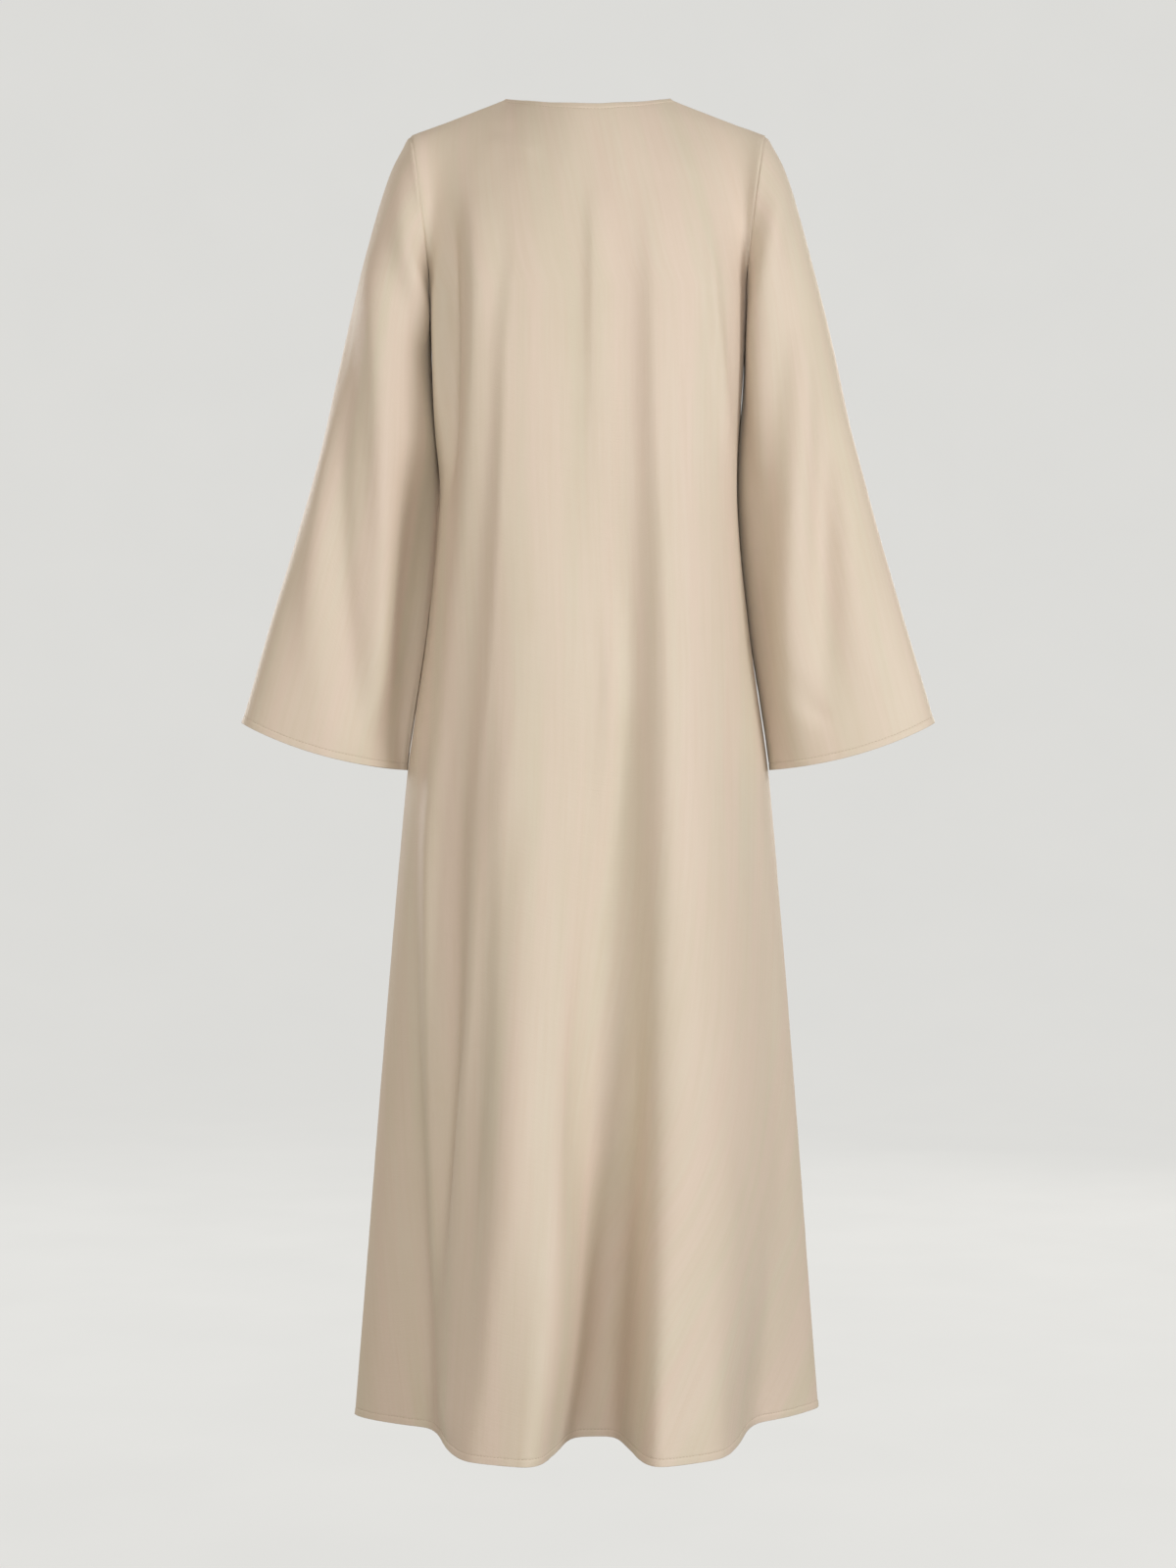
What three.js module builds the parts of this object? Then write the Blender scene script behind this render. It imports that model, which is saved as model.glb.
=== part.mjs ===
// An open-front abaya cloak, filled out as if it were worn: a one-piece back, two plain
// fronts that hang edge to edge, and two set-in bell sleeves, all in one light cloth.
//
// Millimetres, +Z up. The wearer faces +Y, and the wearer's right side is at +X. The
// origin lies midway between the neck ends of the two shoulder seams, where the wearer's
// shoulders carry the cloak.

import * as THREE from 'three';

// The cloth and its making.
const clothWall = 1.6;
const seamGap = 0.34;
const hemWidth = 9;
const hemStep = 0.6;
const hemWall = 3.0;

// Where the seams meet, on the wearer's right. The left side is its mirror image.
const neckPoint = { x: 88, y: 0, z: 0 };
const shoulderTip = { x: 190, y: 0, z: -41 };
const underarm = { x: 168, y: 0, z: -215 };
const hemLevel = -1396;

// Necklines: the back dips to the nape, and the fronts fall to the throat.
const nape = { depth: 55, drop: 19 };
const throat = { x: 3, y: 88, z: -150 };
const necklineBend = [
  { x: 78, y: 36, z: -24 },
  { x: 50, y: 80, z: -112 },
];

// The armhole seam between the shoulder tip and the underarm.
const armhole = { back: 56, front: 50, scoop: 6 };

// Body sections from the underarm down: half the width between the side seams, how far
// the back and the fronts stand out, how square the section is, half the gap between the
// fronts, and how far the right side seam swings forward.
const sections = [
  { level: -215, halfWidth: 168, back: 104, front: 94, square: 2.9, opening: 3, swing: 0 },
  { level: -300, halfWidth: 163.5, back: 106, front: 100, square: 2.9, opening: 3.5, swing: 0 },
  { level: -420, halfWidth: 156.5, back: 102, front: 96, square: 3, opening: 4.5, swing: 0 },
  { level: -560, halfWidth: 169, back: 102, front: 100, square: 2.6, opening: 6, swing: 2 },
  { level: -728, halfWidth: 192.5, back: 102, front: 106, square: 2.1, opening: 9, swing: 7 },
  { level: -1396, halfWidth: 248, back: 100, front: 122, square: 1.6, opening: 20, swing: 34 },
];

// The hanging folds. Each row is one fold at one level: where its crest lies across the
// body, half its width at half its depth, how far it stands out, and how square its
// crest is. A fold fades to nothing at the shoulder blades or the chest.
const leftBackFold = [
  { level: -215, crest: -32, halfWidth: 76, depth: 0, square: 2 },
  { level: -728, crest: -26, halfWidth: 74, depth: 26, square: 2.4 },
  { level: -1100, crest: -52, halfWidth: 66, depth: 78, square: 3.2 },
  { level: -1396, crest: -89, halfWidth: 57, depth: 135, square: 5.6 },
];
const rightBackFold = [
  { level: -215, crest: 98, halfWidth: 50, depth: 0, square: 2 },
  { level: -728, crest: 105, halfWidth: 50, depth: 24, square: 2.4 },
  { level: -1100, crest: 103, halfWidth: 52, depth: 74, square: 3.2 },
  { level: -1396, crest: 100, halfWidth: 56, depth: 140, square: 5.6 },
];
const frontFold = [
  { level: -215, crest: 84, halfWidth: 42, depth: 0, square: 2 },
  { level: -728, crest: 96, halfWidth: 48, depth: 14, square: 2.2 },
  { level: -1100, crest: 108, halfWidth: 50, depth: 46, square: 2.8 },
  { level: -1396, crest: 118, halfWidth: 50, depth: 84, square: 3.6 },
];

// The columns of cloth between one side seam and the next edge, shared out so that they
// run along the folds: a line is one flank (-1, 1) or crest (0) of a fold.
const backColumns = [
  { fold: leftBackFold, line: -1, columns: 6 },
  { fold: leftBackFold, line: 0, columns: 6 },
  { fold: leftBackFold, line: 1, columns: 6 },
  { fold: rightBackFold, line: -1, columns: 4 },
  { fold: rightBackFold, line: 0, columns: 5 },
  { fold: rightBackFold, line: 1, columns: 5 },
  { fold: null, columns: 4 },
];
const frontColumns = [
  { fold: frontFold, line: 1, columns: 4 },
  { fold: frontFold, line: 0, columns: 4 },
  { fold: frontFold, line: -1, columns: 4 },
  { fold: null, columns: 6 },
];

// The sleeve from the armhole (0) to the cuff (1): its outer line, how far its section
// lies behind the shoulder line, half its depth, how far its lower edge droops between
// the two ends of the section, and how round the section is: an ellipse at 1, and
// squarer below 1.
const sleeveSections = [
  { level: 0, outerX: 190, outerZ: -41, behind: 3, halfDepth: 53, droop: 0, round: 1 },
  { level: 0.06, outerX: 209, outerZ: -78, behind: 3, halfDepth: 57, droop: 1, round: 0.94 },
  { level: 0.15, outerX: 228, outerZ: -142, behind: 3, halfDepth: 60, droop: 3, round: 0.85 },
  { level: 0.3, outerX: 252.5, outerZ: -240, behind: 5, halfDepth: 60, droop: 5, round: 0.75 },
  { level: 0.55, outerX: 287, outerZ: -395, behind: 10, halfDepth: 54, droop: 7, round: 0.7 },
  { level: 0.78, outerX: 325.5, outerZ: -530, behind: 16, halfDepth: 49, droop: 8, round: 0.7 },
  { level: 1, outerX: 365, outerZ: -663, behind: 20, halfDepth: 46, droop: 9, round: 0.75 },
];
const sleeveClearance = 4.6;
const cuffInner = -713;
const armholeReach = 0.15;

// How finely the cloth is divided.
const shoulderColumns = 7;
const neckColumns = 22;
const yokeRows = 8;
const skirtRows = 12;
const sleeveRows = 11;
const pathSteps = 60;

const { clamp, lerp, smoothstep } = THREE.MathUtils;

function vector(point, side = 1) {
  return new THREE.Vector3(point.x * side, point.y, point.z);
}

// One column of a table at a level, on a smooth curve through its rows.
function read(table, level, column) {
  const last = table.length - 1;
  const falling = table[last].level < table[0].level;
  let i = 0;
  while (i < last - 1 && (falling ? level < table[i + 1].level : level > table[i + 1].level)) {
    i += 1;
  }
  const slope = (row) => {
    const before = table[Math.max(row - 1, 0)];
    const after = table[Math.min(row + 1, last)];
    return (after[column] - before[column]) / (after.level - before.level);
  };
  const span = table[i + 1].level - table[i].level;
  const t = clamp((level - table[i].level) / span, 0, 1);
  const eased = t * t * (3 - 2 * t);
  const leaving = t * (1 - t) * (1 - t) * span * slope(i);
  const arriving = t * t * (1 - t) * span * slope(i + 1);
  return lerp(table[i][column], table[i + 1][column], eased) + leaving - arriving;
}

function foldDepth(folds, x, level) {
  let depth = 0;
  for (const fold of folds) {
    const across = Math.abs(x - read(fold, level, 'crest')) / read(fold, level, 'halfWidth');
    depth += read(fold, level, 'depth') * 0.5 ** (across ** read(fold, level, 'square'));
  }
  return depth;
}

// A point of the body's section at a level. The angle runs from the left side seam
// (-90 degrees) over the middle to the right side seam (90 degrees).
function sectionPoint(part, level, angle) {
  const back = part === 'back';
  const power = 2 / read(sections, level, 'square');
  const sine = Math.sin(angle);
  const cosine = Math.max(Math.cos(angle), 0);
  const x = read(sections, level, 'halfWidth') * Math.sign(sine) * Math.abs(sine) ** power;
  const stand = read(sections, level, back ? 'back' : 'front') * cosine ** power;
  const folds = back ? [leftBackFold, rightBackFold] : [frontFold];
  const reach = stand + Math.sqrt(cosine) * foldDepth(folds, x, level);
  const swing = part === 'front_left' ? 0 : read(sections, level, 'swing');
  const forward = swing * Math.max(sine, 0) ** (2 * power);
  return new THREE.Vector3(x, forward + (back ? -reach : reach), level);
}

function sectionAngle(level, x) {
  const share = Math.min(Math.abs(x) / read(sections, level, 'halfWidth'), 1);
  return Math.sign(x) * Math.asin(share ** (read(sections, level, 'square') / 2));
}

// One row of a panel at a level. The back runs from the left side seam to the right one,
// and a front runs from its side seam to its hemmed front edge. The left front is made on
// the right, and mirrored.
function sectionRow(part, level) {
  const back = part === 'back';
  const finish = back ? Math.PI / 2 : sectionAngle(level, read(sections, level, 'opening'));
  let angle = back ? -Math.PI / 2 : Math.PI / 2;
  const row = [];
  for (const { fold, line, columns } of back ? backColumns : frontColumns) {
    const to = fold === null ? finish
      : sectionAngle(level, read(fold, level, 'crest') + line * read(fold, level, 'halfWidth'));
    const path = [];
    for (let i = 0; i <= pathSteps; i += 1) {
      path.push(sectionPoint(part, level, lerp(angle, to, i / pathSteps)));
    }
    row.push(...spaced(path, columns, !back && fold === null).slice(row.length ? 1 : 0));
    angle = to;
  }
  return row;
}

// Distances that divide a length evenly. Where the length ends in a hem, the last two
// divisions are the step and the width of the hem.
function divisions(length, count, hemmed) {
  const even = hemmed ? length - hemWidth - hemStep : length;
  const steps = hemmed ? count - 2 : count;
  const distances = [];
  for (let i = 0; i <= steps; i += 1) {
    distances.push((even * i) / steps);
  }
  return hemmed ? [...distances, length - hemWidth, length] : distances;
}

// Points of a finely drawn path, spaced by its own length.
function spaced(path, count, hemmed) {
  const reach = [0];
  for (let i = 1; i < path.length; i += 1) {
    reach.push(reach[i - 1] + path[i].distanceTo(path[i - 1]));
  }
  let i = 1;
  return divisions(reach[reach.length - 1], count, hemmed).map((distance) => {
    while (i < path.length - 1 && reach[i] < distance) {
      i += 1;
    }
    const share = (distance - reach[i - 1]) / (reach[i] - reach[i - 1]);
    return path[i - 1].clone().lerp(path[i], clamp(share, 0, 1));
  });
}

function backNeckline() {
  const path = [];
  for (let i = 0; i <= pathSteps; i += 1) {
    const across = lerp(-1, 1, i / pathSteps);
    const dip = 1 - across * across;
    path.push(new THREE.Vector3(neckPoint.x * across, -nape.depth * dip, -nape.drop * dip));
  }
  return path;
}

function frontNeckline() {
  const [first, second] = necklineBend;
  const curve = new THREE.CubicBezierCurve3(
    vector(neckPoint), vector(first), vector(second), vector(throat));
  return curve.getPoints(pathSteps);
}

// The upper edge of a panel, from the left shoulder tip, or from the right one for a
// front, over the shoulder seam and along the neckline.
function upperEdge(part) {
  const side = part === 'back' ? -1 : 1;
  const seam = spaced([vector(shoulderTip, side), vector(neckPoint, side)], shoulderColumns, false);
  if (part !== 'back') {
    return [...seam, ...spaced(frontNeckline(), neckColumns / 2, true).slice(1)];
  }
  const neck = spaced(backNeckline(), neckColumns, false);
  const mirrored = seam.map((point) => new THREE.Vector3(-point.x, point.y, point.z)).reverse();
  return [...seam, ...neck.slice(1), ...mirrored.slice(1)];
}

// The yoke joins the upper edge to the section at the underarm. Its rows close up at
// both ends, so its outer edge is the armhole seam.
function yokePoint(part, top, foot, turn) {
  const fall = (1 - Math.cos(Math.PI * turn)) / 2;
  const towardTip = clamp((Math.abs(top.x) - neckPoint.x) / (shoulderTip.x - neckPoint.x), 0, 1);
  const swell = (1 - (1 - fall) ** 2.2) ** lerp(0.9, 0.62, smoothstep(towardTip, 0, 1));
  const point = new THREE.Vector3(lerp(top.x, foot.x, fall), lerp(top.y, foot.y, swell), 0);
  const edge = towardTip ** 4 * Math.sin(Math.PI * turn);
  point.x -= Math.sign(top.x) * armhole.scoop * edge;
  point.y += (part === 'back' ? -armhole.back : armhole.front) * edge;
  point.z = lerp(top.z, foot.z, fall);
  return point;
}

function bodyGrid(part) {
  const top = upperEdge(part);
  const foot = sectionRow(part, underarm.z);
  const grid = [];
  for (let i = 0; i < yokeRows; i += 1) {
    grid.push(top.map((point, j) => yokePoint(part, point, foot[j], i / yokeRows)));
  }
  for (const distance of divisions(underarm.z - hemLevel, skirtRows, true)) {
    grid.push(sectionRow(part, underarm.z - distance));
  }
  return grid;
}

// One ring of the right sleeve, from the shoulder line round the front to the underarm
// seam and round the back again. The first ring is the armhole seam.
function sleeveRing(along) {
  const fade = 1 - clamp(along / armholeReach, 0, 1);
  const innerZ = lerp(underarm.z, cuffInner, along);
  const innerX = read(sections, innerZ, 'halfWidth') + sleeveClearance * (1 - fade);
  const outerX = read(sleeveSections, along, 'outerX');
  const outerZ = read(sleeveSections, along, 'outerZ');
  const halfDepth = read(sleeveSections, along, 'halfDepth');
  const behind = read(sleeveSections, along, 'behind');
  const droop = read(sleeveSections, along, 'droop');
  const roundness = read(sleeveSections, along, 'round');
  const down = new THREE.Vector3(outerZ - innerZ, 0, innerX - outerX).normalize();
  const ring = [];
  for (let j = 0; j <= 2 * yokeRows; j += 1) {
    const angle = (Math.PI * j) / yokeRows;
    const share = (1 - Math.cos(angle)) / 2;
    const round = Math.abs(Math.sin(angle));
    const depth = Math.sign(Math.sin(angle)) * halfDepth * round ** roundness;
    const point = new THREE.Vector3(lerp(outerX, innerX, share), 0, lerp(outerZ, innerZ, share));
    point.x -= armhole.scoop * fade * round;
    point.y = depth - behind * lerp(1, round, fade);
    ring.push(point.addScaledVector(down, droop * round * round));
  }
  return ring;
}

function sleeveGrid() {
  const length = shoulderTip.z - sleeveSections[sleeveSections.length - 1].outerZ;
  return divisions(length, sleeveRows, true).map((distance) => sleeveRing(distance / length));
}

function mirror(grid) {
  return grid.map((row) => row.map((point) => new THREE.Vector3(-point.x, point.y, point.z)).reverse());
}

// The outward normal at each point of a grid. A tube's first and last columns are one.
function gridNormals(grid, tube) {
  const lastRow = grid.length - 1;
  const lastColumn = grid[0].length - 1;
  return grid.map((row, i) => row.map((_, j) => {
    const around = tube && (j === 0 || j === lastColumn);
    const left = around ? lastColumn - 1 : Math.max(j - 1, 0);
    const right = around ? 1 : Math.min(j + 1, lastColumn);
    const down = grid[Math.min(i + 1, lastRow)][j].clone().sub(grid[Math.max(i - 1, 0)][j]);
    return down.cross(grid[i][right].clone().sub(grid[i][left])).normalize();
  }));
}

function placeKey(point) {
  return [point.x, point.y, point.z].map((value) => Math.round(value * 50)).join();
}

// The pieces that meet at each seam point share one normal there, so their cut edges
// face each other squarely.
function shareSeamNormals(pieces) {
  const meeting = new Map();
  for (const piece of pieces) {
    piece.grid.forEach((row, i) => row.forEach((point, j) => {
      const key = placeKey(point);
      const entry = meeting.get(key) ?? { sum: new THREE.Vector3(), pieces: new Set() };
      entry.sum.add(piece.normals[i][j]);
      entry.pieces.add(piece.name);
      meeting.set(key, entry);
    }));
  }
  for (const piece of pieces) {
    piece.seam = piece.grid.map((row) => row.map((point) => meeting.get(placeKey(point)).pieces.size > 1));
    piece.grid.forEach((row, i) => row.forEach((point, j) => {
      if (piece.seam[i][j]) {
        piece.normals[i][j] = meeting.get(placeKey(point)).sum.clone().normalize();
      }
    }));
  }
}

// The pull that opens half a seam gap at one point, away from the edge that runs
// through its neighbours along the seam and towards the inside of the piece.
function seamPull(normal, point, along, inside) {
  const edge = along.clone().sub(point);
  const pull = normal.clone().cross(edge).normalize();
  return pull.dot(inside.clone().sub(point)) < 0 ? pull.negate() : pull;
}

function openSeams(piece) {
  const { grid, normals, seam, tube } = piece;
  const lastRow = grid.length - 1;
  const lastColumn = grid[0].length - 1;
  return grid.map((row, i) => row.map((point, j) => {
    const moved = point.clone();
    const edges = [];
    if (seam[i][j] && i === 0) {
      const beside = tube ? (j + 1) % lastColumn : j + (seam[i][j + 1] ? 1 : -1);
      edges.push([grid[i][beside], grid[i + 1][j]]);
    }
    if (seam[i][j] && !tube && (j === 0 || j === lastColumn)) {
      edges.push([grid[i === lastRow ? i - 1 : i + 1][j], row[j === 0 ? 1 : j - 1]]);
    }
    for (const [along, inside] of edges) {
      moved.addScaledVector(seamPull(normals[i][j], point, along, inside), seamGap / 2);
    }
    return moved;
  }));
}

// The wall is thicker where the cloth is turned up inside a hem.
function wallAt(piece, i, j) {
  const lastRow = piece.grid.length - 1;
  const lastColumn = piece.grid[0].length - 1;
  const lowHem = i >= lastRow - 1;
  const frontHem = piece.hemColumn === 'last' && j >= lastColumn - 1;
  const mirroredHem = piece.hemColumn === 'first' && j <= 1;
  return lowHem || frontHem || mirroredHem ? hemWall : clothWall;
}

// A closed wall: the outer face on the grid, the inner face set back along the normals,
// and strips along the open edges.
function wallGeometry(piece) {
  const outer = openSeams(piece);
  const rows = outer.length;
  const columns = piece.tube ? outer[0].length - 1 : outer[0].length;
  const positions = [];
  const place = (i, j, inside) => {
    const point = outer[i][j % columns].clone();
    if (inside) {
      point.addScaledVector(piece.normals[i][j % columns], -wallAt(piece, i, j % columns));
    }
    positions.push(point.x, point.y, point.z);
  };
  const quad = (corners) => {
    for (const corner of [0, 1, 2, 0, 2, 3]) {
      place(...corners[corner]);
    }
  };
  const across = piece.tube ? columns : columns - 1;
  for (let j = 0; j < across; j += 1) {
    for (let i = 0; i < rows - 1; i += 1) {
      quad([[i, j, false], [i + 1, j, false], [i + 1, j + 1, false], [i, j + 1, false]]);
      quad([[i, j, true], [i, j + 1, true], [i + 1, j + 1, true], [i + 1, j, true]]);
    }
    quad([[0, j, true], [0, j, false], [0, j + 1, false], [0, j + 1, true]]);
    quad([[rows - 1, j, false], [rows - 1, j, true], [rows - 1, j + 1, true], [rows - 1, j + 1, false]]);
  }
  for (let i = 0; !piece.tube && i < rows - 1; i += 1) {
    quad([[i, 0, false], [i, 0, true], [i + 1, 0, true], [i + 1, 0, false]]);
    quad([[i, across, true], [i, across, false], [i + 1, across, false], [i + 1, across, true]]);
  }
  const geometry = new THREE.BufferGeometry();
  geometry.setAttribute('position', new THREE.Float32BufferAttribute(positions, 3));
  geometry.computeVertexNormals();
  return geometry;
}

function makePieces() {
  const sleeve = sleeveGrid();
  const pieces = [
    { name: 'back', grid: bodyGrid('back'), color: 0xd2c2ab },
    { name: 'front_right', grid: bodyGrid('front_right'), hemColumn: 'last', color: 0xd3c3ac },
    { name: 'front_left', grid: mirror(bodyGrid('front_left')), hemColumn: 'first', color: 0xd1c1aa },
    { name: 'sleeve_right', grid: sleeve, tube: true, color: 0xd4c4ae },
    { name: 'sleeve_left', grid: mirror(sleeve), tube: true, color: 0xcebfa9 },
  ];
  for (const piece of pieces) {
    piece.normals = gridNormals(piece.grid, piece.tube);
  }
  shareSeamNormals(pieces);
  return pieces;
}

const abaya = new THREE.Group();
for (const piece of makePieces()) {
  const cloth = new THREE.MeshStandardMaterial({ color: piece.color, roughness: 0.62, metalness: 0 });
  const mesh = new THREE.Mesh(wallGeometry(piece), cloth);
  mesh.name = piece.name;
  abaya.add(mesh);
}

export default abaya;
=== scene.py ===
"""An open-front abaya cloak in light satin-backed crepe, seen from behind.

Every piece of cloth is a thin shell on the form of its CAD solid, with its own creases,
sewn seams, turned hems and rows of stitches. The form is worked out in millimetres, as
the CAD model is, and each mesh is scaled to metres when it is made.
"""

import math

import bpy
import numpy as np
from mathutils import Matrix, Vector, noise
from mathutils.kdtree import KDTree


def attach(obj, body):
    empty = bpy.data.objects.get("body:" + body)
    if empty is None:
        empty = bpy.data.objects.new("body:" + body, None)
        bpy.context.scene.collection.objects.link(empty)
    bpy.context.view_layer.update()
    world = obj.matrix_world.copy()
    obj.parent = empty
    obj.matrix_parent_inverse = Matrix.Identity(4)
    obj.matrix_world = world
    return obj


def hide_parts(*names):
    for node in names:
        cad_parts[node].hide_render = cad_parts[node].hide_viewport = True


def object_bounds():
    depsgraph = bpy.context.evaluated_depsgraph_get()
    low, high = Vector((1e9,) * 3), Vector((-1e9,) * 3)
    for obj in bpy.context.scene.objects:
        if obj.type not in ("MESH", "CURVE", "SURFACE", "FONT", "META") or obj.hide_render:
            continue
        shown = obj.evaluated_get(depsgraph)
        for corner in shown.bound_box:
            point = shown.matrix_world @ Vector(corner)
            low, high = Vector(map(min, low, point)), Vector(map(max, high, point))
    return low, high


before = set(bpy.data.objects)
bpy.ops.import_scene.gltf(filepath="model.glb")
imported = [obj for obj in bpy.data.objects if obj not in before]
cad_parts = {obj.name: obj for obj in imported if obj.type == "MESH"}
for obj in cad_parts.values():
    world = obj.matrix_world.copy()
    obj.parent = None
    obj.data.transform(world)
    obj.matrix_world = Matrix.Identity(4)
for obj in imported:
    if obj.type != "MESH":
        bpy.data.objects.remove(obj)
cad_box = [list(corner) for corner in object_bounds()]

MM = 0.001


def table(columns, *rows):
    """A short table with named columns, ordered by level."""
    values = np.array(sorted(rows), float)
    return {name: values[:, i] for i, name in enumerate(columns.split())}


# ---------------------------------------------------------------- the form, in millimetres

NECK_POINT = np.array([88.0, 0.0, 0.0])
SHOULDER_TIP = np.array([190.0, 0.0, -41.0])
UNDERARM_Z = -215.0
HEM_Z = -1396.0
NAPE_DEPTH, NAPE_DROP = 55.0, 19.0
NECKLINE = np.array([[88, 0, 0], [78, 36, -24], [50, 80, -112], [3, 88, -150]], float)
ARMHOLE_BACK, ARMHOLE_FRONT, ARMHOLE_SCOOP = 56.0, 50.0, 6.0
ARMHOLE_REACH = 0.15
CUFF_INNER_Z = -713.0
SLEEVE_CLEARANCE = 1.9
# How far the edge of each sleeve beside the body rolls forward.
LEFT_SLEEVE_ROLL, RIGHT_SLEEVE_ROLL = 30, 15

SECTIONS = table(
    "level half_width back front square opening swing",
    (-215, 168, 104, 94, 2.9, 3, 0),
    (-300, 163.5, 106, 100, 2.9, 3.5, 0),
    (-420, 156.5, 102, 96, 3, 4.5, 0),
    (-560, 169, 102, 100, 2.6, 6, 2),
    (-728, 192.5, 102, 106, 2.1, 9, 7),
    (-1396, 248, 100, 122, 1.6, 20, 34),
)
LEFT_BACK_FOLD = table(
    "level crest half_width depth square",
    (-215, -32, 76, 0, 2),
    (-728, -26, 74, 26, 2.4),
    (-1100, -52, 66, 78, 3.2),
    (-1396, -89, 57, 135, 5.6),
)
RIGHT_BACK_FOLD = table(
    "level crest half_width depth square",
    (-215, 98, 50, 0, 2),
    (-728, 105, 50, 24, 2.4),
    (-1100, 103, 52, 74, 3.2),
    (-1396, 100, 56, 140, 5.6),
)
FRONT_FOLD = table(
    "level crest half_width depth square",
    (-215, 84, 42, 0, 2),
    (-728, 96, 48, 14, 2.2),
    (-1100, 108, 50, 46, 2.8),
    (-1396, 118, 50, 84, 3.6),
)
SLEEVE = table(
    "level outer_x outer_z behind half_depth droop round",
    (0, 190, -41, 3, 53, 0, 1),
    (0.06, 209, -78, 3, 57, 1, 0.94),
    (0.15, 228, -142, 3, 60, 3, 0.85),
    (0.3, 252.5, -240, 5, 60, 5, 0.75),
    (0.55, 287, -395, 10, 54, 7, 0.7),
    (0.78, 325.5, -530, 16, 49, 8, 0.7),
    (1, 365, -663, 20, 46, 9, 0.75),
)
BACK_COLUMNS = (
    (LEFT_BACK_FOLD, -1, 6), (LEFT_BACK_FOLD, 0, 6), (LEFT_BACK_FOLD, 1, 6),
    (RIGHT_BACK_FOLD, -1, 4), (RIGHT_BACK_FOLD, 0, 5), (RIGHT_BACK_FOLD, 1, 5),
    (None, 0, 4),
)
FRONT_COLUMNS = ((FRONT_FOLD, 1, 4), (FRONT_FOLD, 0, 4), (FRONT_FOLD, -1, 4), (None, 0, 6))
SHOULDER_COLUMNS, NECK_COLUMNS = 7, 22

# How much finer the shells are across than the CAD solids, and their rows down.
FINER = 5
YOKE_ROWS, SKIRT_ROWS, SLEEVE_ROWS = 36, 96, 104
# How many times the yoke is eased across, and the points that each curve is measured on.
YOKE_EASE = 60
PATH_STEPS = 90


def read(rows, level, name):
    """One column of a table at a level, on a smooth curve through its rows."""
    x, y = rows["level"], rows[name]
    last = len(x) - 1
    i = int(np.clip(np.searchsorted(x, level) - 1, 0, last - 1))

    def slope(k):
        before, after = max(k - 1, 0), min(k + 1, last)
        return (y[after] - y[before]) / (x[after] - x[before])

    span = x[i + 1] - x[i]
    t = float(np.clip((level - x[i]) / span, 0, 1))
    eased = t * t * (3 - 2 * t)
    bent = t * (1 - t) ** 2 * span * slope(i) - t * t * (1 - t) * span * slope(i + 1)
    return y[i] + (y[i + 1] - y[i]) * eased + bent


def smooth(t):
    t = np.clip(t, 0, 1)
    return t * t * (3 - 2 * t)


def fold_depth(folds, x, level):
    """How far the hanging folds stand out at each x. Half their depth is at their half width."""
    depth = 0
    for fold in folds:
        across = np.abs(x - read(fold, level, "crest")) / read(fold, level, "half_width")
        depth = depth + read(fold, level, "depth") * 0.5 ** (across ** read(fold, level, "square"))
    return depth


def section_points(part, level, angle):
    """Points of the body's section, from the left side seam (-90 degrees) to the right."""
    back = part == "back"
    power = 2 / read(SECTIONS, level, "square")
    sine, cosine = np.sin(angle), np.maximum(np.cos(angle), 0)
    x = read(SECTIONS, level, "half_width") * np.sign(sine) * np.abs(sine) ** power
    folds = [LEFT_BACK_FOLD, RIGHT_BACK_FOLD] if back else [FRONT_FOLD]
    reach = read(SECTIONS, level, "back" if back else "front") * cosine ** power
    reach = reach + np.sqrt(cosine) * fold_depth(folds, x, level)
    swing = 0 if part == "front_left" else read(SECTIONS, level, "swing")
    y = swing * np.maximum(sine, 0) ** (2 * power) + (-reach if back else reach)
    return np.stack([x, y, np.full_like(x, level)], -1)


def section_angle(level, x):
    """The angle at which the section, without its swing, is at x."""
    share = min(abs(x) / read(SECTIONS, level, "half_width"), 1)
    return math.copysign(math.asin(share ** (read(SECTIONS, level, "square") / 2)), x)


def spaced(path, count):
    """A line of points at even distances along a path, with that many steps."""
    reach = np.concatenate([[0], np.cumsum(np.linalg.norm(np.diff(path, axis=0), axis=1))])
    at = np.linspace(0, reach[-1], count + 1)
    return np.stack([np.interp(at, reach, path[:, k]) for k in range(3)], -1)


def section_row(part, level):
    """A row of points round one piece below the underarm, in columns that follow its folds."""
    back = part == "back"
    finish = math.pi / 2 if back else section_angle(level, read(SECTIONS, level, "opening"))
    angle = -math.pi / 2 if back else math.pi / 2
    row = []
    for fold, line, columns in BACK_COLUMNS if back else FRONT_COLUMNS:
        to = finish
        if fold is not None:
            crest, half = read(fold, level, "crest"), read(fold, level, "half_width")
            to = section_angle(level, crest + line * half)
        path = section_points(part, level, np.linspace(angle, to, PATH_STEPS))
        row.append(spaced(path, columns * FINER)[1 if row else 0:])
        angle = to
    return np.concatenate(row)


def back_neckline():
    across = np.linspace(-1, 1, PATH_STEPS)
    dip = 1 - across ** 2
    return np.stack([NECK_POINT[0] * across, -NAPE_DEPTH * dip, -NAPE_DROP * dip], -1)


def front_neckline():
    t = np.linspace(0, 1, PATH_STEPS)[:, None]
    a, b, c, d = NECKLINE
    return (1 - t) ** 3 * a + 3 * (1 - t) ** 2 * t * b + 3 * (1 - t) * t * t * c + t ** 3 * d


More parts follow.
